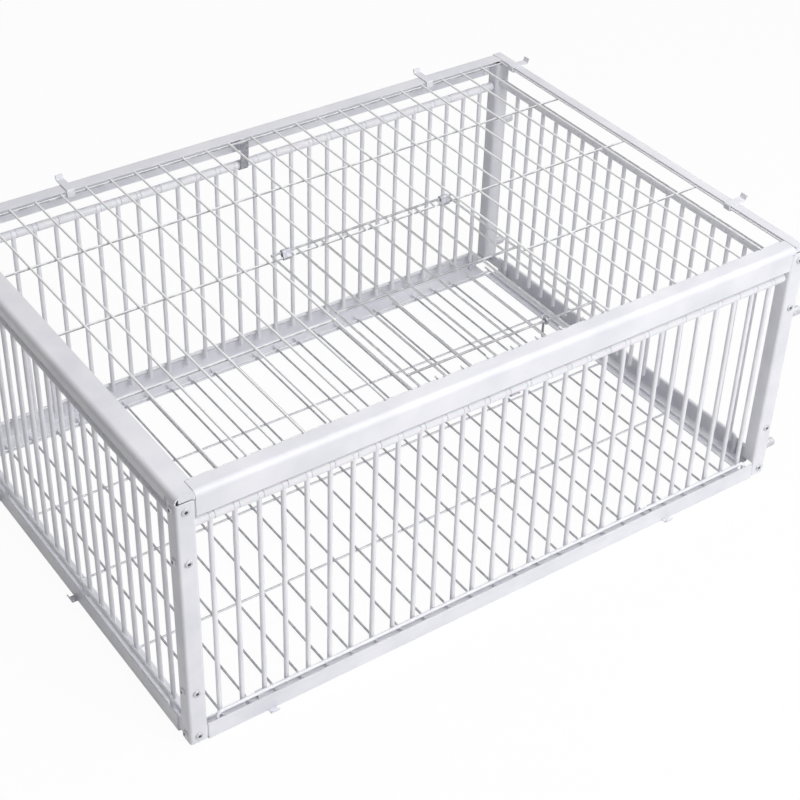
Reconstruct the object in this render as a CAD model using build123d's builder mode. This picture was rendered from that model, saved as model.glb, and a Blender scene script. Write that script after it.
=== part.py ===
"""Pigeon trap: a low cage of folded sheet angles with walls of hanging bars.

Every bar hangs by an eye on a wall rod and swings inward only, because its
foot rests against a stop wire.  A welded grid closes the top, with a
wire hatch in it, and a second grid makes the floor.
Millimetres, +Z up, front wall towards -Y, the underside on Z = 0.
"""
import os

from build123d import *

# Cage over the corner posts
width = 600.0
depth = 420.0
height = 248.0
sheet = 1.2

# Corner posts
post_long_side = 15.5
post_end_side = 14.5
post_foot = 3.0
post_below = 6.0
post_bend = 1.2
post_corner = 3.0

# Top rails
top_long_cover = 15.0
top_long_drop = 21.0
top_left_cover = 20.0
top_right_cover = 12.0
top_end_drop = 11.0
top_bend = 3.5
rail_gap = 0.6
tongue_inset = 1.5
tongue_above_post = 0.5

# Bottom rails
floor_long_cover = 20.0
floor_end_cover = 18.0
floor_upright = 17.0
floor_bend = 0.8

# Corner plates behind the posts
plate_gap = 0.6
plate_lap = 6.0
plate_low_top = 63.0
plate_below = 68.0

# Hollow rivets through posts and plates, and studs of the right end wall
rivets_low = (10.0, 56.0)
rivets_below = (61.0, 13.0)
rivet_edge = 7.5
rivet_hole = 4.0
rivet_fit = 0.05
rivet_bore = 2.8
rivet_head = 6.4
rivet_head_thick = 1.3
rivet_rim = 0.5
stud_up = 28.0
stud_below = 74.0
stud_inset = 6.5
stud_dia = 8.0
stud_long = 13.0
stud_round = 2.0

# Wall rods, their spacer sleeves and hangers
rod_dia = 2.6
rod_long_inset = 7.2
rod_long_below = 31.0
rod_end_inset = 8.0
rod_end_below = 26.5
rod_fit = 0.05
rod_past_wall = 1.0
sleeve_dia = 8.0
sleeve_gap = 0.5
hanger_wide = 8.0
hanger_thick = 1.0
hanger_play = 0.3
hanger_bend = 2.5
hanger_tab = 8.0
hanger_edge = 1.9
hanger_turn = 150.0
hanger_straight = 6.0
hanger_slope = 7.0
hanger_aside = 3.0

# Hanging bars
bar_dia = 4.0
bar_pitch = 20.0
bar_clear = 0.3
bar_tip_z = 15.5
eye_dia = 7.8
eye_wide = 4.1
long_margin = 30.0
long_groups = 7
end_margin = 40.0
end_groups = 3

# Stop wires
stop_dia = 3.0
stop_z = 21.5
stop_clear = 0.4
stop_past_bar = 4.5
stop_bend = 2.5

# Welded grids
grid_wire = 2.0
grid_weld = 0.4
grid_tail = 3.0
top_columns = 25
top_front_past = 4.0
top_mid_share = 0.524
top_under_rail = 0.4
top_lap = 8.0
floor_columns = 25
floor_rows = 5
floor_column_lap = 6.0
floor_row_lap = 2.0
floor_lap = 8.0

# Hatch in the top grid
hatch_first = 8
hatch_last = 16
hatch_side_gap = 6.0
hatch_front_gap = 13.0
hatch_long = 192.5
hatch_hinge_back = 2.5
hatch_clear = 0.3

# Hinge clips and catch of the hatch
hinge_clip_wide = 8.0
hinge_clip_thick = 1.0
hinge_clip_left = 12.0
hinge_clip_right = 6.0
hinge_grip = 0.05
hinge_play = 0.3
catch_wire = 2.0
catch_play = 1.1
catch_reach = 6.5
catch_rise = 1.3
catch_bend = 0.6
catch_turn = 265.0
catch_cell = 5

# Sheet clips that hold the grids to the rails, each in a bay and at a share of it
clip_wide = 7.0
clip_thick = 1.0
clip_bend = 0.3
clip_lug = 6.0
clip_lug_rise = 4.0
clip_lug_lean = 1.5
clip_play = 0.2
clip_hook = 2.5
clip_slot_play = 0.5
back_clip_bays = ((4, 0.35), (20, 0.3))
right_clip_bays = ((0, 0.6), (3, 0.8))
front_clip_bays = ((2, 0.5), (19, 0.5))
left_clip_bays = ((1, 0.83), (3, 0.4))


def spread(count, start, end):
    """Return evenly spaced places from a start to an end."""
    return [start + (end - start) * i / (count - 1) for i in range(count)]


def in_bays(places, bays):
    """Return the points at the given shares of the bays between neighbouring places."""
    return [places[i] + share * (places[i + 1] - places[i]) for i, share in bays]


# Frame, worked out from the sizes above
half_w = width / 2
half_d = depth / 2
half_sheet = sheet / 2
post_top = height - post_below
notch_low = floor_upright + rail_gap
top_long_end = post_long_side + rail_gap
top_right_end = top_right_cover + rail_gap
top_end_end = max(top_long_cover, post_end_side) + rail_gap
tongue_z = post_top + tongue_above_post
floor_long_end = post_long_side + rail_gap
floor_end_end = max(floor_long_cover, post_end_side) + rail_gap
rivets_high = [height - below for below in rivets_below]
rivet_heights = [*rivets_low, *rivets_high]
stud_heights = (stud_up, height - stud_below)

# Rods and bars
rod_r = rod_dia / 2
bar_r = bar_dia / 2
bore_r = rod_r + bar_clear
eye_r = eye_dia / 2
rod_long_z = height - rod_long_below
rod_end_z = height - rod_end_below
long_bars = int((width - 2 * long_margin) // bar_pitch) + 1
end_bars = int((depth - 2 * end_margin) // bar_pitch) + 1

# Grids and hatch
wire_r = grid_wire / 2
weld_step = grid_wire - grid_weld
top_y_wire_z = height - sheet - top_under_rail - wire_r
top_x_wire_z = top_y_wire_z - weld_step
floor_x_wire_z = sheet + wire_r
floor_y_wire_z = floor_x_wire_z + weld_step
hatch_y_wire_z = top_x_wire_z + grid_wire + hatch_clear
hatch_x_wire_z = hatch_y_wire_z + weld_step
top_left = top_left_cover - half_w
top_right = half_w - top_right_cover
top_front = top_long_cover + top_front_past - half_d
top_back = half_d - top_long_cover
floor_side = half_w - floor_end_cover + floor_column_lap
floor_face = half_d - floor_long_cover + floor_row_lap
top_x = spread(top_columns, top_left, top_right)
floor_x = spread(floor_columns, -floor_side, floor_side)
floor_y = spread(floor_rows, -floor_face, floor_face)
hatch_front = top_front + hatch_front_gap
hatch_hinge = hatch_front + hatch_long
hinge_row = hatch_hinge - hatch_hinge_back
hatch_mid = (hatch_front + hatch_hinge) / 2
top_mid = hinge_row + top_mid_share * (top_back - hinge_row)
side_row = hatch_mid - hatch_hinge_back
top_y = [top_front, side_row, hinge_row, top_mid, top_back]
hatch_left = top_x[hatch_first] + hatch_side_gap
hatch_right = top_x[hatch_last] - hatch_side_gap
hatch_step = top_x[1] - top_x[0]
hatch_x = [hatch_left + hatch_step * i for i in range(hatch_last - hatch_first)] + [hatch_right]
catch_r = catch_wire / 2

# Clips
back_clips = [-x for x in in_bays(top_x, back_clip_bays)]
right_clips = in_bays(top_y, right_clip_bays)
front_clips = in_bays(floor_x, front_clip_bays)
left_clips = [-y for y in in_bays(floor_y, left_clip_bays)]

# A wall frame has X along the wall, Y inward from the outer face and Z up
front_wall = Location((0, -half_d, 0))
back_wall = Location((0, half_d, 0), (0, 0, 180))
left_wall = Location((-half_w, 0, 0), (0, 0, -90))
right_wall = Location((half_w, 0, 0), (0, 0, 90))

os.makedirs("parts", exist_ok=True)


def save(piece, name):
    """Label one finished piece and write its file."""
    piece.part.label = name
    export_step(piece.part, f"parts/{name}.step")


def across(wall, along=0.0):
    """Return the plane that cuts a wall at a place along it, with Y inward and Z up."""
    return Plane(wall * Plane.YZ.offset(along).location)


def facing(wall, inset=0.0):
    """Return the plane that looks at a wall from outside, at a depth behind its face."""
    return Plane(wall * Plane.XZ.offset(-inset).location)


def folded(points, bend, wide, thick, plane):
    """Return a strip folded along points of the plane, with its inner bend radius."""
    with BuildPart() as strip:
        with BuildLine(plane) as path:
            FilletPolyline(*points, radius=bend + thick / 2)
        with BuildSketch(Plane(path.line @ 0, x_dir=plane.z_dir, z_dir=path.line % 0)):
            Rectangle(wide, thick)
        sweep()
    return strip.part


def post(side, face):
    """Build the corner post at X sign `side` and Y sign `face`, a tube cut out for the plates."""
    def at(x_inset, y_inset):
        return side * (half_w - x_inset), face * (half_d - y_inset)

    outer = post_bend + sheet
    slot_wide = sheet + plate_gap
    slot_inset = sheet + slot_wide / 2
    long_face = Plane.XZ.offset(-face * half_d)
    end_face = Plane.YZ.offset(side * half_w)
    notch = [
        at(sheet, outer),
        at(outer, sheet),
        at(post_long_side + sheet, sheet),
        at(post_long_side + sheet, post_end_side + sheet),
        at(sheet, post_end_side + sheet),
    ]
    with BuildPart() as piece:
        with BuildSketch(Plane.XY.offset(post_foot)):
            with Locations(at(post_long_side / 2, post_end_side / 2)):
                RectangleRounded(post_long_side, post_end_side, outer)
                RectangleRounded(post_long_side - 2 * sheet, post_end_side - 2 * sheet, post_bend,
                                 mode=Mode.SUBTRACT)
        extrude(amount=post_top - post_foot)
        with BuildSketch(Plane.XY.offset(post_foot)):
            with BuildLine():
                Polyline(*notch, close=True)
            make_face()
        extrude(amount=notch_low - post_foot, mode=Mode.SUBTRACT)
        for drop, spot, size in (
            (top_long_drop, at(post_long_side, slot_inset), (4 * sheet, slot_wide)),
            (top_end_drop, at(slot_inset, post_end_side), (slot_wide, 4 * sheet)),
        ):
            with BuildSketch(Plane.XY.offset(post_top)):
                with Locations(spot):
                    Rectangle(*size)
            extrude(amount=post_top - height + drop + rail_gap, dir=(0, 0, -1), mode=Mode.SUBTRACT)
        for plane, sign, half, wide in ((long_face, side, half_w, post_long_side),
                                        (end_face, face, half_d, post_end_side)):
            with BuildSketch(plane):
                with Locations(*[(sign * (half - rivet_edge), z) for z in rivet_heights]):
                    Circle(rivet_hole / 2)
                with Locations((sign * (half - wide), post_top)):
                    Rectangle(2 * post_corner, 2 * post_corner)
                with Locations((sign * (half - wide + post_corner), post_top - post_corner)):
                    Circle(post_corner, mode=Mode.SUBTRACT)
            extrude(amount=2 * sheet, both=True, mode=Mode.SUBTRACT)
        with BuildSketch(Plane.YZ.offset(side * (half_w - post_long_side))):
            with Locations((face * (half_d - rod_long_inset), rod_long_z)):
                Circle(rod_r + rod_fit)
        extrude(amount=2 * sheet, both=True, mode=Mode.SUBTRACT)
        with BuildSketch(Plane.XZ.offset(-face * (half_d - post_end_side))):
            with Locations((side * (half_w - rod_end_inset), rod_end_z)):
                Circle(rod_r + rod_fit)
        extrude(amount=2 * sheet, both=True, mode=Mode.SUBTRACT)
    return piece


def top_angle(wall, along, long, cover, drop):
    """Return a folded angle of a top rail, of the given length about a place along its wall."""
    section = [
        (half_sheet, height - drop),
        (half_sheet, height - half_sheet),
        (cover, height - half_sheet),
    ]
    return folded(section, top_bend, long, sheet, across(wall, along))


def long_top_rail(wall, right):
    """Build a top rail of a long wall, whose right end, at X sign `right`, laps over the post."""
    tongue = top_long_end - top_right_end
    long = width - top_long_end - top_right_end
    angle = top_angle(wall, right * tongue / 2, long, top_long_cover, top_long_drop)
    with BuildPart() as piece:
        add(angle)
        with BuildSketch(across(wall, right * (half_w - top_long_end + tongue / 2))):
            with Locations((0, tongue_z)):
                Rectangle(2 * top_long_cover, top_long_drop, align=(Align.CENTER, Align.MAX))
        extrude(amount=tongue / 2, both=True, mode=Mode.SUBTRACT)
    return piece


def end_top_rail(wall, cover):
    """Build a top rail of an end wall, whose narrow ends close the corners over the posts."""
    tongue = top_end_end - tongue_inset
    cap = min(cover, post_long_side)
    angle = top_angle(wall, 0, depth - 2 * tongue_inset, cover, top_end_drop)
    with BuildPart() as piece:
        add(angle)
        for side in (-1, 1):
            with BuildSketch(across(wall, side * (half_d - top_end_end + tongue / 2))):
                with Locations((0, tongue_z)):
                    Rectangle(2 * cover, top_end_drop, align=(Align.CENTER, Align.MAX))
                with Locations((cap, height)):
                    Rectangle(cover, top_end_drop, align=(Align.MIN, Align.CENTER))
            extrude(amount=tongue / 2, both=True, mode=Mode.SUBTRACT)
            with BuildSketch(across(wall, side * (half_d - tongue_inset))):
                with Locations((top_bend, tongue_z)):
                    Rectangle(cap - top_bend, height - half_sheet - tongue_z,
                              align=(Align.MIN, Align.MIN))
            extrude(amount=-side * sheet)
    return piece


def bottom_rail(wall, span, end_gap, cover, slots):
    """Build a bottom rail, an angle with slots for the clips."""
    section = [(cover, half_sheet), (half_sheet, half_sheet), (half_sheet, floor_upright)]
    slot_high = clip_thick + clip_play + clip_slot_play
    angle = folded(section, floor_bend, span - 2 * end_gap, sheet, across(wall))
    with BuildPart() as piece:
        add(angle)
        for along in slots:
            with BuildSketch(facing(wall)):
                with Locations((along, sheet + slot_high / 2)):
                    Rectangle(clip_wide + 2 * clip_slot_play, slot_high)
            extrude(amount=2 * sheet, both=True, mode=Mode.SUBTRACT)
    return piece


def corner_plates(wall, span, post_side, top_gap, drop, floor_gap):
    """Return a wall's four corner plates, which tie its rails to the posts from inside."""
    half = span / 2
    outer = half - 2 * sheet - plate_gap
    edge = half - post_side + sheet + post_bend + plate_gap
    top_reach = half - top_gap - plate_lap
    floor_reach = half - floor_gap - plate_lap
    upper = [
        (outer, height - plate_below),
        (edge, height - plate_below),
        (edge, height - drop + sheet),
        (top_reach, height - drop + sheet),
        (top_reach, post_top - sheet),
        (outer, post_top - sheet),
    ]
    lower = [
        (outer, post_foot + sheet),
        (floor_reach, post_foot + sheet),
        (floor_reach, floor_upright - sheet),
        (edge, floor_upright - sheet),
        (edge, plate_low_top),
        (outer, plate_low_top),
    ]
    with BuildPart() as plates:
        for side in (-1, 1):
            for outline, holes in ((upper, rivets_high), (lower, rivets_low)):
                with BuildSketch(facing(wall, sheet)):
                    with BuildLine():
                        Polyline(*[(side * x, z) for x, z in outline], close=True)
                    make_face()
                    with Locations(*[(side * (half - rivet_edge), z) for z in holes]):
                        Circle(rivet_hole / 2, mode=Mode.SUBTRACT)
                extrude(amount=-sheet)
    return plates.part


def rod(wall, span, post_side, inset, z):
    """Build the rod of a wall, held in the inner walls of its two posts."""
    with BuildPart() as piece:
        with BuildSketch(across(wall)):
            with Locations((inset, z)):
                Circle(rod_r)
        extrude(amount=span / 2 - post_side + sheet + rod_past_wall, both=True)
    return piece


def sleeves(wall, span, post_side, inset, z, bars):
    """Build the spacer sleeves between and beside the bars of a wall."""
    inner = bar_pitch - eye_wide - 2 * bar_clear
    side_end = span / 2 - post_side - sleeve_gap
    side_start = bar_pitch * (bars - 1) / 2 + eye_wide / 2 + bar_clear
    runs = [(bar_pitch * (i - (bars - 2) / 2), inner) for i in range(bars - 1)]
    runs += [(side * (side_start + side_end) / 2, side_end - side_start) for side in (-1, 1)]
    with BuildPart() as piece:
        for along, long in runs:
            with BuildSketch(across(wall, along)):
                with Locations((inset, z)):
                    Circle(sleeve_dia / 2)
                    Circle(rod_r + rod_fit, mode=Mode.SUBTRACT)
            extrude(amount=long / 2, both=True)
    return piece


def bar(rod_z):
    """Return one bar with its top pressed into an eye, on a rod along X through the origin."""
    with BuildPart() as wire:
        with BuildSketch(Plane.XY.offset(bar_tip_z - rod_z)):
            Circle(bar_r)
        extrude(amount=rod_z - bar_tip_z - (bore_r + eye_r) / 2)
        with BuildSketch(Plane.YZ):
            Circle(eye_r)
            Circle(bore_r, mode=Mode.SUBTRACT)
        extrude(amount=eye_wide / 2, both=True)
    return wire.part


def bar_group(wall, inset, rod_z, places):
    """Build a group of neighbouring bars at the given places along a wall."""
    one = bar(rod_z)
    with BuildPart() as piece:
        with Locations(*[wall * Location((along, inset, rod_z)) for along in places]):
            add(one)
    return piece


def stop_wire(wall, inset, bars):
    """Build the stop wire of a wall, a long staple that stands on the bottom rail."""
    end = bar_pitch * (bars - 1) / 2 + stop_past_bar
    out = inset - bar_r - stop_clear - stop_dia / 2
    with BuildPart() as piece:
        with BuildLine(facing(wall, out)) as path:
            FilletPolyline((-end, sheet), (-end, stop_z), (end, stop_z), (end, sheet),
                           radius=stop_bend + stop_dia / 2)
        with BuildSketch(Plane(path.line @ 0, z_dir=path.line % 0)):
            Circle(stop_dia / 2)
        sweep()
    return piece


def hanger(wall, right):
    """Return the strap that carries a long wall's rod, beside the middle wire of the top grid."""
    turn_r = sleeve_dia / 2 + hanger_play + hanger_thick / 2
    edge = top_long_cover - hanger_edge
    under_rail = height - sheet - hanger_thick / 2
    plane = across(wall, right * (long_bars % 2 * bar_pitch / 2 - hanger_aside))
    with BuildPart() as strap:
        with BuildLine(plane) as path:
            FilletPolyline(
                (edge - hanger_tab, under_rail),
                (edge, under_rail),
                (edge, rod_long_z + hanger_straight + hanger_slope),
                (rod_long_inset + turn_r, rod_long_z + hanger_straight),
                (rod_long_inset + turn_r, rod_long_z),
                radius=hanger_bend + hanger_thick / 2,
            )
            CenterArc((rod_long_inset, rod_long_z), turn_r, 0, -hanger_turn)
        route = path.wires()[0]
        with BuildSketch(Plane(route @ 0, x_dir=plane.z_dir, z_dir=route % 0)):
            Rectangle(hanger_wide, hanger_thick)
        sweep(path=route)
    return strap.part


def wires_along_y(spots, z, start, end):
    """Return straight wires along Y, at X spots and one height."""
    with BuildPart() as run:
        with BuildSketch(Plane.XZ.offset(-(start + end) / 2)):
            with Locations(*[(x, z) for x in spots]):
                Circle(wire_r)
        extrude(amount=(end - start) / 2, both=True)
    return run.part


def wires_along_x(spots, z, start, end):
    """Return straight wires along X, at Y spots and one height."""
    with BuildPart() as run:
        with BuildSketch(Plane.YZ.offset((start + end) / 2)):
            with Locations(*[(y, z) for y in spots]):
                Circle(wire_r)
        extrude(amount=(end - start) / 2, both=True)
    return run.part


def clips(wall, places, route):
    """Return one clip at each place along a wall, folded along the route across it."""
    with BuildPart() as group:
        for along in places:
            plane = across(wall, along)
            with BuildLine(plane) as path:
                FilletPolyline(*route, radius=clip_bend + clip_thick / 2)
            with BuildSketch(Plane(path.line @ 0, x_dir=plane.z_dir, z_dir=path.line % 0)):
                Rectangle(clip_wide, clip_thick)
            sweep(path=path.wires()[0])
    return group.part


def top_clip_route(wire_inset, wire_z):
    """Return a clip's route over a top rail, down past a wire of the top grid and back under it."""
    lie = height + clip_play + clip_thick / 2
    inner = wire_inset + wire_r + clip_play + clip_thick / 2
    under = wire_z - wire_r - clip_play - clip_thick / 2
    return [
        (-clip_lug, lie + clip_lug_rise),
        (clip_lug_lean - clip_lug, lie),
        (inner, lie),
        (inner, under),
        (wire_inset - clip_hook, under),
    ]


def floor_clip_route(wire_inset, wire_z):
    """Return a clip's route out of a bottom rail's slot and over a wire of the floor."""
    lie = sheet + clip_play + clip_thick / 2
    over = wire_z + wire_r + clip_play + clip_thick / 2
    return [
        (-clip_lug, lie + clip_lug_rise),
        (clip_lug_lean - clip_lug, lie),
        (wire_inset - wire_r - clip_hook - clip_thick, lie),
        (wire_inset - wire_r - clip_thick, over),
        (wire_inset + clip_hook, over),
    ]


# Corner posts
for x_name, side in (("left", -1), ("right", 1)):
    for y_name, face in (("front", -1), ("back", 1)):
        save(post(side, face), f"post_{y_name}_{x_name}")

# Rails, rods, sleeves, bars and stop wires of the two long walls
for name, wall, right, slots in (("front", front_wall, 1, front_clips), ("back", back_wall, -1, ())):
    save(long_top_rail(wall, right), f"top_rail_{name}")
    save(bottom_rail(wall, width, floor_long_end, floor_long_cover, slots),
         f"bottom_rail_{name}")
    save(rod(wall, width, post_long_side, rod_long_inset, rod_long_z), f"rod_{name}")
    save(sleeves(wall, width, post_long_side, rod_long_inset, rod_long_z, long_bars),
         f"sleeves_{name}")
    save(stop_wire(wall, rod_long_inset, long_bars), f"stop_wire_{name}")
    spots = [bar_pitch * (i - (long_bars - 1) / 2) for i in range(long_bars)]
    for group in range(long_groups):
        run = spots[group * long_bars // long_groups:(group + 1) * long_bars // long_groups]
        save(bar_group(wall, rod_long_inset, rod_long_z, run), f"bars_{name}_{group + 1}")

# The same pieces of the two end walls
for name, wall, cover, slots in (
    ("left", left_wall, top_left_cover, left_clips),
    ("right", right_wall, top_right_cover, ()),
):
    save(end_top_rail(wall, cover), f"top_rail_{name}")
    save(bottom_rail(wall, depth, floor_end_end, floor_end_cover, slots),
         f"bottom_rail_{name}")
    save(rod(wall, depth, post_end_side, rod_end_inset, rod_end_z), f"rod_{name}")
    save(sleeves(wall, depth, post_end_side, rod_end_inset, rod_end_z, end_bars),
         f"sleeves_{name}")
    save(stop_wire(wall, rod_end_inset, end_bars), f"stop_wire_{name}")
    spots = [bar_pitch * (i - (end_bars - 1) / 2) for i in range(end_bars)]
    for group in range(end_groups):
        run = spots[group * end_bars // end_groups:(group + 1) * end_bars // end_groups]
        save(bar_group(wall, rod_end_inset, rod_end_z, run), f"bars_{name}_{group + 1}")

# Corner plates
plates = [
    corner_plates(wall, width, post_long_side, top_long_end, top_long_drop, floor_long_end)
    for wall in (front_wall, back_wall)
]
plates += [
    corner_plates(wall, depth, post_end_side, top_end_end, top_end_drop, floor_end_end)
    for wall in (left_wall, right_wall)
]
with BuildPart() as all_plates:
    add(plates)
save(all_plates, "corner_plates")

# Hangers of the two long rods
straps = [hanger(wall, right) for wall, right in ((front_wall, 1), (back_wall, -1))]
with BuildPart() as rod_hangers:
    add(straps)
save(rod_hangers, "rod_hangers")

# Top grid, cut away under the hatch
inside_x = top_x[hatch_first + 1:hatch_last]
outside_x = top_x[:hatch_first + 1] + top_x[hatch_last:]
y_end = half_d - top_long_cover + top_lap
x_start = top_left - top_lap
x_end = top_right + top_lap
top_wires = [
    wires_along_y(outside_x, top_y_wire_z, -y_end, y_end),
    wires_along_y(inside_x, top_y_wire_z, -y_end, top_front + grid_tail),
    wires_along_y(inside_x, top_y_wire_z, hinge_row - grid_tail, y_end),
    wires_along_x([top_front, hinge_row, top_mid, top_back], top_x_wire_z, x_start, x_end),
    wires_along_x([side_row], top_x_wire_z, x_start, top_x[hatch_first] + grid_tail),
    wires_along_x([side_row], top_x_wire_z, top_x[hatch_last] - grid_tail, x_end),
]
with BuildPart() as top_grid:
    add(top_wires)
save(top_grid, "top_grid")

# Floor grid
y_end = half_d - floor_long_cover + floor_lap
x_end = half_w - floor_end_cover + floor_lap
floor_wires = [
    wires_along_y(floor_x, floor_y_wire_z, -y_end, y_end),
    wires_along_x(floor_y, floor_x_wire_z, -x_end, x_end),
]
with BuildPart() as floor_grid:
    add(floor_wires)
save(floor_grid, "floor_grid")

# Hatch, whose long wires run on past its front wire to rest on the grid
hatch_tail = grid_tail / 2
hatch_wires = [
    wires_along_y(hatch_x, hatch_y_wire_z, top_front - hatch_tail, hatch_hinge + wire_r),
    wires_along_x([hatch_front, hatch_mid, hatch_hinge], hatch_x_wire_z,
                  hatch_left - hatch_tail, hatch_right + hatch_tail),
]
with BuildPart() as hatch:
    add(hatch_wires)
save(hatch, "hatch")

# Hinge clips, loops of strip round the hatch's back wire and a wire of the grid
with BuildPart() as hatch_hinge_clips:
    for along in (hatch_left + hinge_clip_left, hatch_right - hinge_clip_right):
        with BuildSketch(Plane.YZ.offset(along)):
            with Locations((hinge_row, top_x_wire_z)):
                Circle(wire_r + hinge_grip + hinge_clip_thick)
            with Locations((hatch_hinge, hatch_x_wire_z)):
                Circle(wire_r + hinge_play + hinge_clip_thick)
            make_hull()
            with BuildSketch(Plane.YZ.offset(along), mode=Mode.SUBTRACT):
                with Locations((hinge_row, top_x_wire_z)):
                    Circle(wire_r + hinge_grip)
                with Locations((hatch_hinge, hatch_x_wire_z)):
                    Circle(wire_r + hinge_play)
                make_hull()
        extrude(amount=hinge_clip_wide / 2, both=True)
save(hatch_hinge_clips, "hatch_hinge_clips")

# Catch, a wire hook that hangs from the hatch's front wire
catch_x = (hatch_x[catch_cell] + hatch_x[catch_cell + 1]) / 2
catch_eye = wire_r + hinge_play + catch_r
catch_to_wire = Vector(hatch_front_gap, hatch_x_wire_z - top_x_wire_z).length
catch_drop = catch_to_wire + wire_r + catch_r + catch_play
catch_plane = Plane(Location((catch_x, hatch_front, hatch_x_wire_z)) * Plane.YZ.location)
with BuildPart() as hatch_catch:
    with BuildLine(catch_plane) as catch_path:
        CenterArc((0, 0), catch_eye, catch_turn, -catch_turn)
        FilletPolyline(
            (catch_eye, 0),
            (catch_eye, -catch_drop),
            (catch_eye - catch_reach, catch_rise - catch_drop),
            radius=catch_bend + catch_r,
        )
    catch_route = catch_path.wires()[0]
    with BuildSketch(Plane(catch_route @ 0, z_dir=catch_route % 0)):
        Circle(catch_r)
    sweep(path=catch_route)
save(hatch_catch, "hatch_catch")

# Clips of the top grid on the back and right rails
back_hooks = clips(back_wall, back_clips, top_clip_route(half_d - top_back, top_x_wire_z))
right_hooks = clips(right_wall, right_clips, top_clip_route(half_w - top_right, top_y_wire_z))
with BuildPart() as top_clips:
    add(back_hooks)
    add(right_hooks)
save(top_clips, "top_clips")

# Clips of the floor grid on the front and left rails
front_hooks = clips(front_wall, front_clips, floor_clip_route(
    half_d + floor_y[0], floor_x_wire_z))
left_hooks = clips(left_wall, left_clips, floor_clip_route(
    half_w + floor_x[0], floor_y_wire_z))
with BuildPart() as floor_clips:
    add(front_hooks)
    add(left_hooks)
save(floor_clips, "floor_clips")

# Hollow rivets of the posts
with BuildPart() as rivet:
    Cylinder(rivet_head / 2, rivet_head_thick, align=(Align.CENTER, Align.CENTER, Align.MIN))
    fillet(rivet.edges().group_by(Axis.Z)[-1], radius=rivet_head_thick - rivet_rim)
    with BuildSketch(Plane.XY):
        Circle(rivet_hole / 2 - rivet_fit)
    extrude(amount=-2 * sheet)
    with BuildSketch(Plane.XY):
        Circle(rivet_bore / 2)
    extrude(amount=4 * sheet, both=True, mode=Mode.SUBTRACT)
rivet_places = []
for wall, span in ((front_wall, width), (back_wall, width), (left_wall, depth), (right_wall, depth)):
    for side in (-1, 1):
        for z in rivet_heights:
            spot = Location((side * (span / 2 - rivet_edge), 0, z), (90, 0, 0))
            rivet_places.append(wall * spot)
with BuildPart() as rivets:
    with Locations(*rivet_places):
        add(rivet.part)
save(rivets, "rivets")

# Studs on the right posts
with BuildPart() as end_studs:
    with BuildSketch(facing(right_wall)):
        with Locations(*[(side * (half_d - stud_inset), z) for side in (-1, 1) for z in stud_heights]):
            Circle(stud_dia / 2)
    extrude(amount=stud_long)
    fillet(end_studs.edges().group_by(Axis.X)[-1], radius=stud_round)
save(end_studs, "end_studs")
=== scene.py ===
"""Dress a pigeon trap: powder coat, galvanised wire, welds, rivet stubs and a white stage.

Everything is in metres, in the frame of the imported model.  The walls face -Y
(front), +Y (back), -X (left) and +X (right), and the underside lies at Z = 0.
"""
import math

import bmesh
import bpy
from bpy.props import FloatProperty, FloatVectorProperty, IntProperty, PointerProperty
from mathutils import Matrix, Quaternion, Vector


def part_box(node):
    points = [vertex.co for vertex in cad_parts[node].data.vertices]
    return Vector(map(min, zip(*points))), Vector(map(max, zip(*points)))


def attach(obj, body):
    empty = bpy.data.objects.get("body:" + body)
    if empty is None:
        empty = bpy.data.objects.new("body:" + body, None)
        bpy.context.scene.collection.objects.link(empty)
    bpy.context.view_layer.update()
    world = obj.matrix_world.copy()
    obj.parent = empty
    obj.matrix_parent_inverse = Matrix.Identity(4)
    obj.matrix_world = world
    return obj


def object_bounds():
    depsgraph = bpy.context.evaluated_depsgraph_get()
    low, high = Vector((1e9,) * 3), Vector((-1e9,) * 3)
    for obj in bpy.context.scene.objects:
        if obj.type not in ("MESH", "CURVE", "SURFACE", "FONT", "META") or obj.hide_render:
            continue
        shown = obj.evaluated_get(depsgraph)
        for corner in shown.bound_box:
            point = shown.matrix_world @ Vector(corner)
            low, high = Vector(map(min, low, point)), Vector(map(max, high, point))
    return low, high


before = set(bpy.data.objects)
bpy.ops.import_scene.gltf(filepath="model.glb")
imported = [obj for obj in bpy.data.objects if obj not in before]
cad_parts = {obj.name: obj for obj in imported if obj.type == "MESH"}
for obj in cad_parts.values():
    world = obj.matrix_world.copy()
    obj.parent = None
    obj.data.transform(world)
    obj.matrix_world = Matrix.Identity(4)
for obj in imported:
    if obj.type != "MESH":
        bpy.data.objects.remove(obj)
cad_low, cad_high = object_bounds()

bl_info = {
    "name": "Pigeon Trap Dressing",
    "version": (1, 0, 0),
    "blender": (4, 5, 0),
    "location": "View3D > Sidebar > Trap",
    "description": "Finishes, small pieces and stage for a wire cage trap",
    "category": "Object",
}

MM = 0.001
WHITE = (1.0, 1.0, 1.0, 1.0)

# Axis that each wall's row of bars runs along: X is 0 and Y is 1.
WALLS = {"front": 0, "back": 0, "left": 1, "right": 1}

# Heights of the rivets, and places of the top grid's cross wires from its front end.
RIVET_HEIGHTS = tuple(z * MM for z in (10.0, 56.0, 187.0, 235.0))
TOP_ROWS = tuple(y * MM for y in (12.0, 118.75, 215.0, 310.9, 398.0))

# Which of those stops at both sides of the hatch, and how many cross wires the hatch has.
HATCH_SIDE_ROW = 1
HATCH_ROWS = 3

# Widths of the soft edges between the finishes of a grid, and the floor's drop below the trap.
SEAM_BLUR = 0.2 * MM
LAP_BLUR = 1.0 * MM
FLOOR_DROP = 0.2 * MM

# Radii of a rivet's broken pin as shares of the bore, faces round the small pieces, and how
# far above a bar's foot a point still counts as the rim of its crown.
STUB_FOOT, STUB_TIP = 0.49, 0.44
STUB_SIDES = 14
CROWN_SIDES, CROWN_RINGS = 12, 6
CROWN_PLAY = 0.01 * MM
WELD_SIDES, WELD_RINGS = 8, 5

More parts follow.
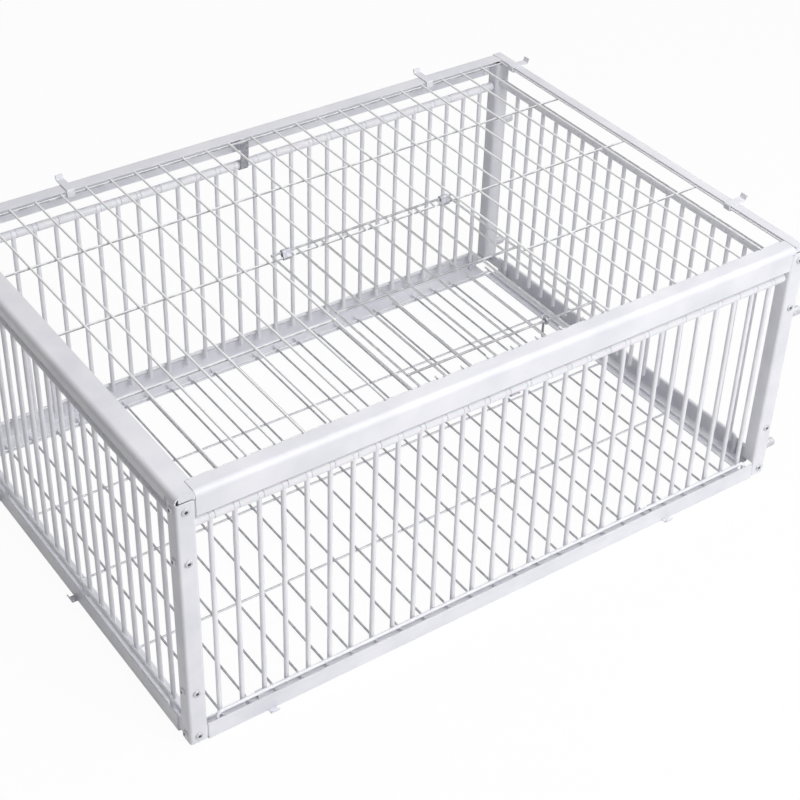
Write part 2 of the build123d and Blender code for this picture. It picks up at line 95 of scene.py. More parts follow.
# Sockets of a Mix node that mixes colours.
SHARE, FIRST, SECOND, MIXED = 0, 6, 7, 2


def linear(code):
    """Turn an sRGB hex value into linear red, green and blue."""
    parts = [int(code[i:i + 2], 16) / 255 for i in (1, 3, 5)]
    return tuple(c / 12.92 if c <= 0.04045 else ((c + 0.055) / 1.055) ** 2.4 for c in parts)


def per_mm(size):
    """Return the texture scale whose pattern repeats about once in so many millimetres."""
    return 1 / (size * MM)


def colour(label, words, code):
    """Return a colour property with a default given as an sRGB hex value."""
    return FloatVectorProperty(name=label, description=words, subtype="COLOR", size=3,
                               min=0.0, max=1.0, default=linear(code))


def length(label, words, size):
    """Return a length property with a default given in millimetres."""
    return FloatProperty(name=label, description=words, unit="LENGTH", precision=5,
                         min=0.0, default=size * MM)


def share(label, words, value):
    """Return a property that runs from nothing to one."""
    return FloatProperty(name=label, description=words, subtype="FACTOR",
                         min=0.0, max=1.0, default=value)


class TrapFinishSettings(bpy.types.PropertyGroup):
    """Colours and gloss of the trap's finishes."""

    coat_light: colour("Sheet coat", "White of the powder coat on the folded sheet", "#EDEDF2")
    coat_cloud: colour("Sheet coat clouds", "Where the coat lies thinner on the sheet", "#E2E2E9")
    coat_rough: share("Sheet coat roughness", "Satin gloss of the powder coat", 0.42)
    bar_light: colour("Bar coat", "White of the coat on the hanging bars", "#F3F3F7")
    bar_run: colour("Bar coat runs", "Where the coat ran thin along a bar", "#E6E6EC")
    bar_rough: share("Bar coat roughness", "Satin gloss of the coat on round wire", 0.36)
    sleeve_light: colour("Sleeve plastic", "White of the spacer tube", "#F0F0F4")
    sleeve_rough: share("Sleeve roughness", "Dull gloss of the extruded tube", 0.5)
    wire_light: colour("Top wire", "White coat on the top grid's long wires", "#FAFAFC")
    # Grey drawn on the cross wires of the top grid and the hatch.
    wire_grey: colour("Top wire, thin coat", "Zinc showing through on its cross wires", "#A2A2A7")
    wire_rough: share("Top wire roughness", "Satin gloss of the coat on thin wire", 0.4)
    floor_light: colour("Floor wire", "Bright crystals of the floor grid's zinc", "#C0C0C5")
    floor_dark: colour("Floor wire, dull", "Dull crystals of the floor grid's zinc", "#A6A6AB")
    floor_rough: share("Floor wire roughness", "Gloss of the floor grid's drawn wire", 0.5)
    rivet_light: colour("Rivet zinc", "Bright zinc plate on rivets and studs", "#D6D6DA")
    rivet_dark: colour("Rivet zinc, dull", "Passivated patches on rivets and studs", "#C2C2C8")
    zinc_light: colour("Zinc plate", "Zinc plate on hangers, hinges and catch", "#B0B0B7")
    zinc_dark: colour("Zinc plate, dull", "Passivated patches of the zinc plate", "#93939B")
    zinc_rough: share("Zinc roughness", "Gloss of the zinc plate", 0.4)
    # The broken pin is real, and its dark grey is also painted shade for the inside of the rivet's
    # bore.
    stub_grey_and_shade: colour("Rivet stub", "Broken steel pin inside a hollow rivet", "#5C5C61")


class TrapPieceSettings(bpy.types.PropertyGroup):
    """Sizes of the small pieces that are added to the trap."""

    bar_wide: length("Bar diameter", "Diameter of a hanging bar", 4.0)
    bar_pitch: length("Bar pitch", "From bar to bar along a wall", 20.0)
    tip_crown: length("Bar tip crown", "Height of the coat's crown on a bar's foot", 0.9)
    rivet_edge: length("Rivet edge", "From a post's corner to its rivets", 7.5)
    rivet_head: length("Rivet head", "Thickness of a rivet's head", 1.3)
    rivet_bore: length("Rivet bore", "Diameter of a hollow rivet's bore", 2.8)
    stub_sink: length("Stub sink", "How far the broken pin lies below the head", 0.45)
    stub_long: length("Stub length", "Length of the broken pin", 1.4)
    weld_wide: length("Weld width", "Width of the flash round a weld of two wires", 3.1)
    weld_high: length("Weld height", "Height of that flash", 1.7)
    wire_wide: length("Wire diameter", "Diameter of the grids' wires", 2.0)
    top_columns: IntProperty(name="Top columns", description="Long wires of the top grid",
                             default=25)
    top_column_in: length("Top column inset", "From the top grid's end to its first column", 8.0)
    hatch_first: IntProperty(name="Hatch first", description="Column left of the hatch", default=8)
    hatch_last: IntProperty(name="Hatch last", description="Column right of the hatch", default=16)
    hatch_tail: length("Hatch tail", "Ends of the hatch's cross wires past its side wires", 1.5)
    hatch_long: length("Hatch length", "From the hatch's front wire to its hinge wire", 192.5)
    floor_columns: IntProperty(name="Floor columns", description="Long wires of the floor",
                               default=25)
    floor_column_in: length("Floor column inset", "From the floor's end to its first column", 2.0)
    floor_rows: IntProperty(name="Floor rows", description="Cross wires of the floor", default=5)
    floor_row_in: length("Floor row inset", "From the floor's side to its first row", 6.0)
    floor_lap: length("Floor lap", "Length of the floor's wires that lies on the rails", 8.0)


class TrapStageSettings(bpy.types.PropertyGroup):
    """Camera, lights and floor."""

    azimuth: FloatProperty(name="Azimuth", description="Camera's angle round the trap",
                           subtype="ANGLE", default=math.radians(-36.036))
    elevation: FloatProperty(name="Elevation", description="Camera's angle above the floor",
                             subtype="ANGLE", default=math.radians(37.526))
    roll: FloatProperty(name="Roll", description="Camera's turn about its own axis",
                        subtype="ANGLE", default=math.radians(1.971))
    distance: length("Distance", "From the camera to the point that it looks at", 1550.0)
    aim: FloatVectorProperty(name="Aim",
                             description="Point looked at, from the middle of the underside",
                             subtype="TRANSLATION", size=3, default=(0.01961, -0.02484, 0.08149))
    lens: FloatProperty(name="Lens", description="Focal length", unit="CAMERA", default=78.81)
    floor_side: length("Floor side", "Side of the square floor", 12000.0)
    floor_white: colour("Floor", "Pale floor and surround", "#F4F4F5")
    floor_glow: share("Floor glow", "Share of the floor that the camera sees as plain white", 0.95)
    sky: FloatProperty(name="Surround light", description="Light from all round",
                       min=0.0, default=0.15)
    key: FloatProperty(name="Key light", description="Power of the large front light",
                       min=0.0, subtype="POWER", default=17.5)
    key_side: length("Key light side", "Side of the square front light", 1000.0)
    key_place: FloatVectorProperty(name="Key light place", description="From the trap's middle",
                                   subtype="TRANSLATION", size=3, default=(0.2, -1.45, 1.1))
    top: FloatProperty(name="Top light", description="Power of the light from above",
                       min=0.0, subtype="POWER", default=25.0)
    top_side: length("Top light side", "Side of the square light above", 2200.0)
    top_place: FloatVectorProperty(name="Top light place", description="From the trap's middle",
                                   subtype="TRANSLATION", size=3, default=(0.5, -0.4, 1.9))


def add_node(tree, kind, values=None, links=None, **settings):
    """Add a node to a tree, with its settings, input values and links."""
    node = tree.nodes.new(kind)
    for name, value in settings.items():
        setattr(node, name, value)
    for name, value in (values or {}).items():
        node.inputs[name].default_value = value
    for name, output in (links or {}).items():
        tree.links.new(output, node.inputs[name])
    return node


def rgba(shade):
    """Return a colour with full alpha."""
    return (*shade, 1.0)


def new_material(name):
    """Return a new material with an empty node tree and its output node."""
    material = bpy.data.materials.new(name)
    material.use_nodes = True
    material.node_tree.nodes.clear()
    output = material.node_tree.nodes.new("ShaderNodeOutputMaterial")
    return material, material.node_tree, output


def coated_steel(name, light, thin, rough, stretch, cloud_mm, peel_mm, peel_depth_mm):
    """White polyester powder coat, sprayed and baked on steel.

    The eye sees a satin white with faint clouds where the coat lies thinner
    and the fine orange peel of baked powder, drawn coarser than life so that
    it shows.
    """
    material, tree, output = new_material(name)
    place = add_node(tree, "ShaderNodeTexCoord")
    along = add_node(tree, "ShaderNodeMapping", {"Scale": stretch},
                     {"Vector": place.outputs["Object"]})
    cloud = add_node(tree, "ShaderNodeTexNoise",
                     {"Scale": per_mm(cloud_mm), "Detail": 3.0, "Roughness": 0.55},
                     {"Vector": along.outputs["Vector"]})
    contrast = add_node(tree, "ShaderNodeMapRange", {"From Min": 0.35, "From Max": 0.65},
                        {"Value": cloud.outputs["Fac"]})
    tone = add_node(tree, "ShaderNodeMix", {FIRST: rgba(light), SECOND: rgba(thin)},
                    {SHARE: contrast.outputs["Result"]}, data_type="RGBA")
    gloss = add_node(tree, "ShaderNodeMapRange", {"To Min": rough - 0.06, "To Max": rough + 0.08},
                     {"Value": cloud.outputs["Fac"]})
    peel = add_node(tree, "ShaderNodeTexNoise", {"Scale": per_mm(peel_mm), "Detail": 1.0},
                    {"Vector": place.outputs["Object"]})
    bump = add_node(tree, "ShaderNodeBump", {"Strength": 0.35, "Distance": peel_depth_mm * MM},
                    {"Height": peel.outputs["Fac"]})
    shader = add_node(tree, "ShaderNodeBsdfPrincipled", {"IOR": 1.5},
                      {"Base Color": tone.outputs[MIXED], "Roughness": gloss.outputs["Result"],
                       "Normal": bump.outputs["Normal"]})
    tree.links.new(shader.outputs["BSDF"], output.inputs["Surface"])
    return material


def zinc_steel(name, light, dull, rough, bare, spangle_mm):
    """Zinc-coated steel, hot dipped or plated.

    The eye sees a grey metal broken up by spangle, patches of crystals that
    are a little brighter or duller, drawn at a few millimetres so that they
    show on thin wire.  White bloom dulls most of the metal, and `bare` is the
    share that still mirrors as metal.
    """
    material, tree, output = new_material(name)
    place = add_node(tree, "ShaderNodeTexCoord")
    spangle = add_node(tree, "ShaderNodeTexVoronoi", {"Scale": per_mm(spangle_mm)},
                       {"Vector": place.outputs["Object"]})
    grain = add_node(tree, "ShaderNodeSeparateColor", links={"Color": spangle.outputs["Color"]})
    tone = add_node(tree, "ShaderNodeMix", {FIRST: rgba(light), SECOND: rgba(dull)},
                    {SHARE: grain.outputs["Red"]}, data_type="RGBA")
    gloss = add_node(tree, "ShaderNodeMapRange", {"To Min": rough - 0.08, "To Max": rough + 0.1},
                     {"Value": grain.outputs["Green"]})
    shader = add_node(tree, "ShaderNodeBsdfPrincipled", {"Metallic": bare},
                      {"Base Color": tone.outputs[MIXED], "Roughness": gloss.outputs["Result"]})
    tree.links.new(shader.outputs["BSDF"], output.inputs["Surface"])
    return material


def dipped_wire(name, light, grey, rough, seam_z, cross_side):
    """White coat on a welded grid of wire.

    The eye sees a clean white on the long wires.  The cross wires, which lie
    on one side of the seam between the layers, are drawn grey, in patches a
    few millimetres long that are a little lighter.
    """
    material, tree, output = new_material(name)
    place = add_node(tree, "ShaderNodeTexCoord")
    split = add_node(tree, "ShaderNodeSeparateXYZ", links={"Vector": place.outputs["Object"]})
    blur = cross_side * SEAM_BLUR
    layer = add_node(tree, "ShaderNodeMapRange",
                     {"From Min": seam_z - blur, "From Max": seam_z + blur},
                     {"Value": split.outputs["Z"]})
    patch = add_node(tree, "ShaderNodeTexNoise", {"Scale": per_mm(7.0), "Detail": 2.0},
                     {"Vector": place.outputs["Object"]})
    thin = add_node(tree, "ShaderNodeMapRange", {"From Min": 0.3, "From Max": 0.55, "To Min": 0.55},
                    {"Value": patch.outputs["Fac"]})
    # Share of grey: the cross wires on the `cross_side` of the seam, in patches.
    bare = add_node(tree, "ShaderNodeMath", links={0: layer.outputs["Result"],
                                                   1: thin.outputs["Result"]},
                    operation="MULTIPLY")
    tone = add_node(tree, "ShaderNodeMix", {FIRST: rgba(light), SECOND: rgba(grey)},
                    {SHARE: bare.outputs["Value"]}, data_type="RGBA")
    gloss = add_node(tree, "ShaderNodeMapRange", {"To Min": rough, "To Max": rough + 0.1},
                     {"Value": bare.outputs["Value"]})
    shader = add_node(tree, "ShaderNodeBsdfPrincipled", {"IOR": 1.5},
                      {"Base Color": tone.outputs[MIXED], "Roughness": gloss.outputs["Result"]})
    tree.links.new(shader.outputs["BSDF"], output.inputs["Surface"])
    return material


def whitened_zinc_wire(name, light, dull, coat_white, rough, seam_z, reach):
    """Hot-dipped zinc wire, lying on the rails.

    The eye sees grey wire broken up by spangle, drawn a few millimetres wide so
    that it shows.  The ends that lie on the rails, past `reach` from the middle
    along X and Y, are drawn in the coat's white.  The cross wires below the seam
    are drawn nearly white as well, which is painted light.
    """
    material, tree, output = new_material(name)
    place = add_node(tree, "ShaderNodeTexCoord")
    spangle = add_node(tree, "ShaderNodeTexVoronoi", {"Scale": per_mm(4.0)},
                       {"Vector": place.outputs["Object"]})
    grain = add_node(tree, "ShaderNodeSeparateColor", links={"Color": spangle.outputs["Color"]})
    zinc = add_node(tree, "ShaderNodeMix", {FIRST: rgba(light), SECOND: rgba(dull)},
                    {SHARE: grain.outputs["Red"]}, data_type="RGBA")
    split = add_node(tree, "ShaderNodeSeparateXYZ", links={"Vector": place.outputs["Object"]})
    # Painted light: the cross wires below the seam are drawn mostly white, so that they read as lit
    # wire.
    white_share = add_node(tree, "ShaderNodeMapRange",
                     {"From Min": seam_z + SEAM_BLUR, "From Max": seam_z - SEAM_BLUR,
                      "To Max": 0.8},
                     {"Value": split.outputs["Z"]}).outputs["Result"]
    # The ends past `reach` from the middle along X and Y are drawn fully white.
    for axis, edge in zip("XY", reach):
        out = add_node(tree, "ShaderNodeMath", links={0: split.outputs[axis]}, operation="ABSOLUTE")
        past = add_node(tree, "ShaderNodeMapRange",
                        {"From Min": edge - LAP_BLUR, "From Max": edge + LAP_BLUR},
                        {"Value": out.outputs["Value"]})
        white_share = add_node(tree, "ShaderNodeMath", links={0: white_share, 1: past.outputs["Result"]},
                         operation="MAXIMUM").outputs["Value"]
    tone = add_node(tree, "ShaderNodeMix", {SECOND: rgba(coat_white)},
                    {SHARE: white_share, FIRST: zinc.outputs[MIXED]}, data_type="RGBA")
    metal = add_node(tree, "ShaderNodeMapRange", {"To Min": 0.35, "To Max": 0.0}, {"Value": white_share})
    gloss = add_node(tree, "ShaderNodeMapRange", {"To Min": rough - 0.08, "To Max": rough + 0.1},
                     {"Value": grain.outputs["Green"]})
    shader = add_node(tree, "ShaderNodeBsdfPrincipled",
                      links={"Base Color": tone.outputs[MIXED], "Metallic": metal.outputs["Result"],
                             "Roughness": gloss.outputs["Result"]})
    tree.links.new(shader.outputs["BSDF"], output.inputs["Surface"])
    return material


def extruded_plastic(name, light, rough):
    """White polyethylene tube, extruded and cut to length.

    The eye sees a dull, faintly see-through white with soft clouds, a little
    deeper than the rest.
    """
    material, tree, output = new_material(name)
    place = add_node(tree, "ShaderNodeTexCoord")
    cloud = add_node(tree, "ShaderNodeTexNoise", {"Scale": per_mm(14.0), "Detail": 2.0},
                     {"Vector": place.outputs["Object"]})
    deep = [0.93 * c for c in light]
    tone = add_node(tree, "ShaderNodeMix", {FIRST: rgba(light), SECOND: rgba(deep)},
                    {SHARE: cloud.outputs["Fac"]}, data_type="RGBA")
    shader = add_node(tree, "ShaderNodeBsdfPrincipled",
                      {"IOR": 1.51, "Roughness": rough, "Subsurface Weight": 0.1,
                       "Subsurface Scale": 1.5 * MM},
                      {"Base Color": tone.outputs[MIXED]})
    tree.links.new(shader.outputs["BSDF"], output.inputs["Surface"])
    return material


def dark_steel_and_shade(name, shade):
    """Bare steel, broken off and rough, in a dark grey that is also painted shade for the inside of
    a rivet's bore.
    """
    material, tree, output = new_material(name)
    place = add_node(tree, "ShaderNodeTexCoord")
    grit = add_node(tree, "ShaderNodeTexNoise", {"Scale": per_mm(0.5)},
                    {"Vector": place.outputs["Object"]})
    deep = [0.6 * c for c in shade]
    tone = add_node(tree, "ShaderNodeMix", {FIRST: rgba(shade), SECOND: rgba(deep)},
                    {SHARE: grit.outputs["Fac"]}, data_type="RGBA")
    shader = add_node(tree, "ShaderNodeBsdfPrincipled", {"Metallic": 0.6, "Roughness": 0.6},
                      {"Base Color": tone.outputs[MIXED]})
    tree.links.new(shader.outputs["BSDF"], output.inputs["Surface"])
    return material


def nodes_named(*starts):
    """Return the model's pieces whose names start with any of these words."""
    found = [piece for name, piece in sorted(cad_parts.items()) if name.startswith(starts)]
    if not found:
        raise RuntimeError(f"the model has no piece named {starts}")
    return found


def finish(pieces, material):
    """Give the pieces one material."""
    for piece in pieces:
        piece.data.materials.clear()
        piece.data.materials.append(material)


def new_piece(name, bm, material, body):
    """Turn a bmesh into a smooth piece that rides on a body."""
    bmesh.ops.recalc_face_normals(bm, faces=bm.faces)
    for face in bm.faces:
        face.smooth = True
    mesh = bpy.data.meshes.new(name)
    bm.to_mesh(mesh)
    bm.free()
    piece = bpy.data.objects.new(name, mesh)
    bpy.context.scene.collection.objects.link(piece)
    finish([piece], material)
    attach(piece, body)
    return piece


class TRAP_OT_coat_sheet(bpy.types.Operator):
    """Powder coat the posts, rails, corner plates and clips"""

    bl_idname = "trap.coat_sheet"
    bl_label = "Coat the Sheet"

    def execute(self, context):
        look = context.scene.trap_finish
        coat = coated_steel("white_powder_coat_on_sheet", look.coat_light, look.coat_cloud,
                            look.coat_rough, stretch=(1.0, 1.0, 1.0), cloud_mm=45.0,
                            peel_mm=2.2, peel_depth_mm=0.06)
        finish(nodes_named("post_", "top_rail_", "bottom_rail_", "corner_plates", "top_clips",
                           "floor_clips"), coat)
        return {"FINISHED"}


class TRAP_OT_coat_bars(bpy.types.Operator):
    """Coat the hanging bars, the rods and the stop wires"""

    bl_idname = "trap.coat_bars"
    bl_label = "Coat the Bars"

    def execute(self, context):
        look = context.scene.trap_finish
        coat = coated_steel("white_coat_on_round_wire", look.bar_light, look.bar_run,
                            look.bar_rough, stretch=(1.0, 1.0, 0.2), cloud_mm=9.0,
                            peel_mm=1.6, peel_depth_mm=0.04)
        finish(nodes_named("bars_", "rod_front", "rod_back", "rod_left", "rod_right",
                           "stop_wire_"), coat)
        return {"FINISHED"}


class TRAP_OT_finish_sleeves(bpy.types.Operator):
    """Give the spacer sleeves their white plastic"""

    bl_idname = "trap.finish_sleeves"
    bl_label = "Finish the Sleeves"

    def execute(self, context):
        look = context.scene.trap_finish
        plastic = extruded_plastic("white_extruded_tube", look.sleeve_light, look.sleeve_rough)
        finish(nodes_named("sleeves_"), plastic)
        return {"FINISHED"}


class TRAP_OT_finish_grids(bpy.types.Operator):
    """Dip the top grid and the hatch in white, and galvanise the floor grid"""

    bl_idname = "trap.finish_grids"
    bl_label = "Finish the Grids"

    def execute(self, context):
        look = context.scene.trap_finish
        for name, cross_side in (("top_grid", -1.0), ("hatch", 1.0)):
            low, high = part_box(name)
            coat = dipped_wire(f"{name}_white_dip", look.wire_light, look.wire_grey,
                               look.wire_rough, (low.z + high.z) / 2, cross_side)
            finish([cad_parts[name]], coat)
        low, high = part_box("floor_grid")
        lap = context.scene.trap_pieces.floor_lap
        floor = whitened_zinc_wire("grey_galvanised_wire", look.floor_light, look.floor_dark,
                             look.coat_light, look.floor_rough, (low.z + high.z) / 2,
                             (high.x - lap, high.y - lap))
        finish([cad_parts["floor_grid"]], floor)
        return {"FINISHED"}


class TRAP_OT_finish_hardware(bpy.types.Operator):
    """Zinc plate the rivets and studs, and the hangers, hinge clips and catch"""

    bl_idname = "trap.finish_hardware"
    bl_label = "Finish the Hardware"

    def execute(self, context):
        look = context.scene.trap_finish
        bright = zinc_steel("bright_zinc_plate", look.rivet_light, look.rivet_dark,
                            look.zinc_rough, bare=0.3, spangle_mm=1.5)
        finish(nodes_named("rivets", "end_studs"), bright)
        dull = zinc_steel("dull_zinc_plate", look.zinc_light, look.zinc_dark,
                          look.zinc_rough, bare=0.6, spangle_mm=2.5)
        finish(nodes_named("hatch_hinge_clips", "hatch_catch", "rod_hangers"), dull)
        return {"FINISHED"}


def bar_feet(node, along, sizes):
    """Return the foot of each bar in a group, from the group's box and the axis it runs along."""
    low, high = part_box(node)
    count = round((high[along] - low[along] - sizes.bar_wide) / sizes.bar_pitch) + 1
    feet = []
    for i in range(count):
        foot = (low + high) / 2
        foot.z = low.z
        foot[along] += sizes.bar_pitch * (i - (count - 1) / 2)
        feet.append(foot)
    return feet


class TRAP_OT_crown_bars(bpy.types.Operator):
    """Put the coat's low crown on the foot of every bar"""

    bl_idname = "trap.crown_bars"
    bl_label = "Crown the Bars"

    def execute(self, context):
        sizes = context.scene.trap_pieces
        coat = bpy.data.materials["white_coat_on_round_wire"]
        shape = Matrix.Diagonal((sizes.bar_wide / 2, sizes.bar_wide / 2, sizes.tip_crown, 1.0))
        for wall, along in WALLS.items():
            for group in nodes_named(f"bars_{wall}"):
                bm = bmesh.new()
                for foot in bar_feet(group.name, along, sizes):
                    self.add_crown(bm, foot, shape)
                new_piece(f"{group.name}_feet", bm, coat, group.name)
        return {"FINISHED"}

    def add_crown(self, bm, foot, shape):
        """Hang the lower half of a flattened ball under a bar's foot."""
        ball = bmesh.ops.create_uvsphere(bm, u_segments=CROWN_SIDES, v_segments=CROWN_RINGS,
                                         radius=1.0, matrix=Matrix.Translation(foot) @ shape)
        upper = [vert for vert in ball["verts"] if vert.co.z > foot.z + CROWN_PLAY]
        bmesh.ops.delete(bm, geom=upper, context="VERTS")
        rim = [edge for edge in bm.edges if edge.is_boundary]
        bmesh.ops.edgeloop_fill(bm, edges=rim)


class TRAP_OT_plug_rivets(bpy.types.Operator):
    """Leave the broken steel pin in the bore of every rivet, in a dark grey that is also painted
    shade
    """

    bl_idname = "trap.plug_rivets"
    bl_label = "Plug the Rivets"

    def execute(self, context):
        sizes = context.scene.trap_pieces
        # Painted shade: the pins' dark grey stands in for the shade inside the bores.
        steel = dark_steel_and_shade("broken_rivet_pin_and_shade", context.scene.trap_finish.stub_grey_and_shade)
        depth = sizes.rivet_head - sizes.stub_sink - sizes.stub_long / 2
        bm = bmesh.new()
        for post in nodes_named("post_"):
            low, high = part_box(post.name)
            side = 1 if "right" in post.name else -1
            face = 1 if "back" in post.name else -1
            corner = Vector((high.x if side > 0 else low.x, high.y if face > 0 else low.y, 0.0))
            for z in RIVET_HEIGHTS:
                on_long_wall = Vector((-side * sizes.rivet_edge, face * depth, z))
                on_end_wall = Vector((side * depth, -face * sizes.rivet_edge, z))
                for place, out in ((on_long_wall, Vector((0, face, 0))),
                                   (on_end_wall, Vector((side, 0, 0)))):
                    turn = out.to_track_quat("Z", "Y").to_matrix().to_4x4()
                    bmesh.ops.create_cone(bm, cap_ends=True, segments=STUB_SIDES,
                                          radius1=STUB_FOOT * sizes.rivet_bore,
                                          radius2=STUB_TIP * sizes.rivet_bore,
                                          depth=sizes.stub_long,
                                          matrix=Matrix.Translation(corner + place) @ turn)
        new_piece("rivet_stubs", bm, steel, "frame")
        return {"FINISHED"}


def spread(count, low, high):
    """Return evenly spaced places from low to high."""
    return [low + (high - low) * i / (count - 1) for i in range(count)]


def weld_spots(node, columns, rows):
    """Return the crossings of a grid's columns and rows, midway between its two layers of wire."""
    low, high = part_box(node)
    return [Vector((x, y, (low.z + high.z) / 2)) for x in columns for y in rows]


def top_column_places(sizes):
    """Return the places along X of the top grid's long wires."""
    low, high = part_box("top_grid")
    return spread(sizes.top_columns, low.x + sizes.top_column_in, high.x - sizes.top_column_in)


def top_welds(sizes):
    """Return the top grid's crossings, which leave out the cross wire that the hatch breaks."""
    low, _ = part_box("top_grid")
    columns = top_column_places(sizes)
    rows = [low.y + inset for inset in TOP_ROWS]
    whole_rows = [y for y in rows if y != rows[HATCH_SIDE_ROW]]
    inside = columns[sizes.hatch_first + 1:sizes.hatch_last]
    outside = [x for x in columns if x not in inside]
    return weld_spots("top_grid", outside, rows) + weld_spots("top_grid", inside, whole_rows)


def hatch_welds(sizes):
    """Return the hatch's crossings, whose columns keep the top grid's step up to the last one."""
    low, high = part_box("hatch")
    places = top_column_places(sizes)
    first = low.x + sizes.hatch_tail
    step = places[1] - places[0]
    columns = [first + step * i for i in range(sizes.hatch_last - sizes.hatch_first)]
    columns.append(high.x - sizes.hatch_tail)
    hinge = high.y - sizes.wire_wide / 2
    return weld_spots("hatch", columns, spread(HATCH_ROWS, hinge - sizes.hatch_long, hinge))


def floor_welds(sizes):
    """Return the floor grid's crossings."""
    low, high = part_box("floor_grid")
    columns = spread(sizes.floor_columns, low.x + sizes.floor_column_in,
                     high.x - sizes.floor_column_in)
    rows = spread(sizes.floor_rows, low.y + sizes.floor_row_in, high.y - sizes.floor_row_in)
    return weld_spots("floor_grid", columns, rows)


class TRAP_OT_weld_grids(bpy.types.Operator):
    """Squeeze a little flash out of the weld at every crossing of the grids' wires"""

    bl_idname = "trap.weld_grids"
    bl_label = "Weld the Grids"

    def execute(self, context):
        sizes = context.scene.trap_pieces
        self.add_flash("top_grid", top_welds(sizes), sizes, "frame")
        self.add_flash("hatch", hatch_welds(sizes), sizes, "hatch")
        self.add_flash("floor_grid", floor_welds(sizes), sizes, "frame")
        return {"FINISHED"}

    def add_flash(self, grid, spots, sizes, body):
        """Put a flat bead in the grid's own finish at each spot."""
        squeeze = Matrix.Diagonal((sizes.weld_wide / 2, sizes.weld_wide / 2,
                                   sizes.weld_high / 2, 1.0))
        bm = bmesh.new()
        for spot in spots:
            bmesh.ops.create_uvsphere(bm, u_segments=WELD_SIDES, v_segments=WELD_RINGS, radius=1.0,
                                      matrix=Matrix.Translation(spot) @ squeeze)
        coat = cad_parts[grid].data.materials[0]
        new_piece(f"{grid}_welds", bm, coat, body)


class TRAP_OT_set_stage(bpy.types.Operator):
    """Set the white floor, the soft lights and the camera"""

    bl_idname = "trap.set_stage"
    bl_label = "Set the Stage"

    def execute(self, context):
        stage = context.scene.trap_stage
        context.scene.view_settings.view_transform = "Standard"
        lay_floor(stage)
        light_surround(context.scene, stage)
        middle = (cad_low + cad_high) / 2
        hang_light("key_light", stage.key, stage.key_side, middle, Vector(stage.key_place))
        hang_light("top_light", stage.top, stage.top_side, middle, Vector(stage.top_place))
        place_camera(context.scene, stage)
        return {"FINISHED"}


def plain_rays(tree):
    """Return an output that is one for rays that show the floor or surround as they look."""
    path = add_node(tree, "ShaderNodeLightPath")
    mirrored = add_node(tree, "ShaderNodeMath", links={0: path.outputs["Is Camera Ray"],
                                                       1: path.outputs["Is Glossy Ray"]},
                        operation="MAXIMUM")
    shown = add_node(tree, "ShaderNodeMath", links={0: mirrored.outputs["Value"],
                                                    1: path.outputs["Is Transmission Ray"]},
                     operation="MAXIMUM")
    return shown.outputs["Value"]


def lay_floor(stage):
    """Lay a pale floor that shows as near white and keeps a faint shadow."""
    bm = bmesh.new()
    bmesh.ops.create_grid(bm, x_segments=1, y_segments=1, size=stage.floor_side / 2,
                          matrix=Matrix.Translation((0, 0, cad_low.z - FLOOR_DROP)))
    mesh = bpy.data.meshes.new("floor")
    bm.to_mesh(mesh)
    bm.free()
    floor = bpy.data.objects.new("floor", mesh)
    bpy.context.scene.collection.objects.link(floor)

    material, tree, output = new_material("pale_paper_floor")
    paper = add_node(tree, "ShaderNodeBsdfDiffuse", {"Color": rgba(stage.floor_white)})
    white = add_node(tree, "ShaderNodeEmission", {"Color": WHITE, "Strength": 1.0})
    glow = add_node(tree, "ShaderNodeMath", {1: stage.floor_glow}, {0: plain_rays(tree)},
                    operation="MULTIPLY")
    both = add_node(tree, "ShaderNodeMixShader", links={0: glow.outputs["Value"],
                                                        1: paper.outputs["BSDF"],
                                                        2: white.outputs["Emission"]})
    tree.links.new(both.outputs["Shader"], output.inputs["Surface"])
    mesh.materials.append(material)


def light_surround(scene, stage):
    """Light the scene softly from all round, with a surround that shows as white."""
    world = bpy.data.worlds.new("white_surround")
    world.use_nodes = True
    tree = world.node_tree
    tree.nodes.clear()
    output = tree.nodes.new("ShaderNodeOutputWorld")
    soft = add_node(tree, "ShaderNodeBackground", {"Color": WHITE, "Strength": stage.sky})
    white = add_node(tree, "ShaderNodeBackground", {"Color": WHITE, "Strength": 1.0})
    both = add_node(tree, "ShaderNodeMixShader", links={0: plain_rays(tree),
                                                        1: soft.outputs["Background"],
                                                        2: white.outputs["Background"]})
    tree.links.new(both.outputs["Shader"], output.inputs["Surface"])
    scene.world = world


def hang_light(name, power, side, target, offset):
    """Hang a large square light that points at a target."""
    light = bpy.data.lights.new(name, "AREA")
    light.energy = power
    light.size = side
    lamp = bpy.data.objects.new(name, light)
    lamp.location = target + offset
    lamp.rotation_euler = (-offset).to_track_quat("-Z", "Y").to_euler()
    bpy.context.scene.collection.objects.link(lamp)


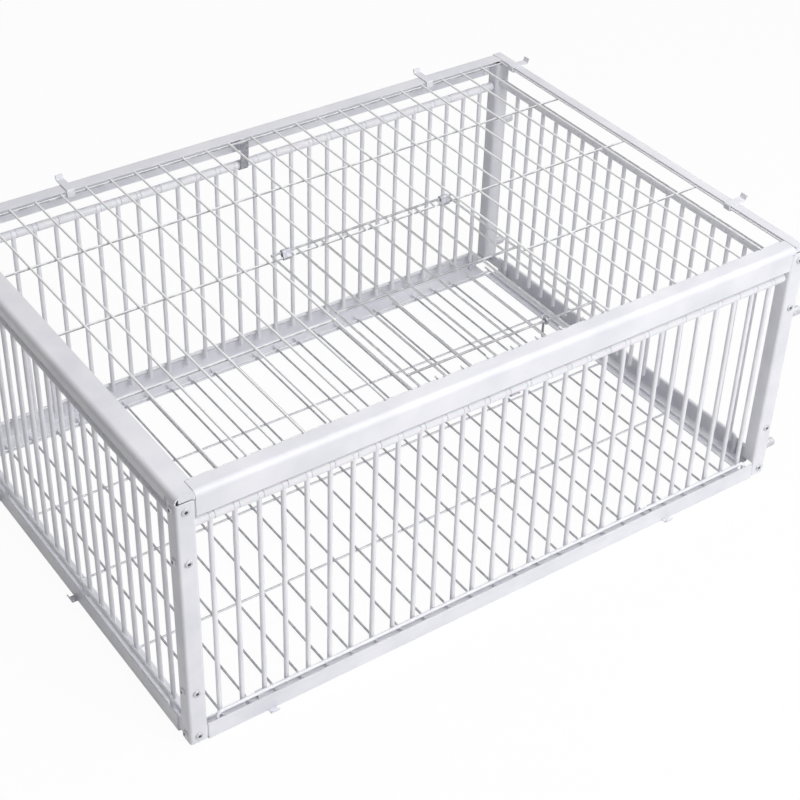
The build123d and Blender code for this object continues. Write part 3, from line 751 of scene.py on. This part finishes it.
def place_camera(scene, stage):
    """Place the camera by its angles about the point that it looks at."""
    flat = math.cos(stage.elevation)
    back = Vector((math.sin(stage.azimuth) * flat, -math.cos(stage.azimuth) * flat,
                   math.sin(stage.elevation)))
    lens = bpy.data.cameras.new("camera")
    lens.lens = stage.lens
    camera = bpy.data.objects.new("camera", lens)
    camera.rotation_mode = "QUATERNION"
    camera.location = Vector(stage.aim) + back * stage.distance
    turn = (-back).to_track_quat("-Z", "Y")
    camera.rotation_quaternion = turn @ Quaternion((0, 0, 1), stage.roll)
    scene.collection.objects.link(camera)
    scene.camera = camera


class TRAP_PT_dressing(bpy.types.Panel):
    """The steps that dress the trap, in order"""

    bl_idname = "TRAP_PT_dressing"
    bl_label = "Trap Dressing"
    bl_space_type = "VIEW_3D"
    bl_region_type = "UI"
    bl_category = "Trap"

    def draw(self, context):
        for step in STEPS:
            self.layout.operator(step.bl_idname)


STEPS = (TRAP_OT_coat_sheet, TRAP_OT_coat_bars, TRAP_OT_finish_sleeves, TRAP_OT_finish_grids,
         TRAP_OT_finish_hardware, TRAP_OT_crown_bars, TRAP_OT_plug_rivets, TRAP_OT_weld_grids,
         TRAP_OT_set_stage)
SETTINGS = (TrapFinishSettings, TrapPieceSettings, TrapStageSettings)


def register():
    """Register the settings, the steps and the panel."""
    for part in (*SETTINGS, *STEPS, TRAP_PT_dressing):
        bpy.utils.register_class(part)
    bpy.types.Scene.trap_finish = PointerProperty(type=TrapFinishSettings)
    bpy.types.Scene.trap_pieces = PointerProperty(type=TrapPieceSettings)
    bpy.types.Scene.trap_stage = PointerProperty(type=TrapStageSettings)


def unregister():
    """Take the settings, the steps and the panel away again."""
    del bpy.types.Scene.trap_stage
    del bpy.types.Scene.trap_pieces
    del bpy.types.Scene.trap_finish
    for part in reversed((*SETTINGS, *STEPS, TRAP_PT_dressing)):
        bpy.utils.unregister_class(part)


def main():
    """Dress the trap step by step."""
    register()
    for step in STEPS:
        group, name = step.bl_idname.split(".")
        getattr(getattr(bpy.ops, group), name)()


if __name__ == "__main__":
    main()
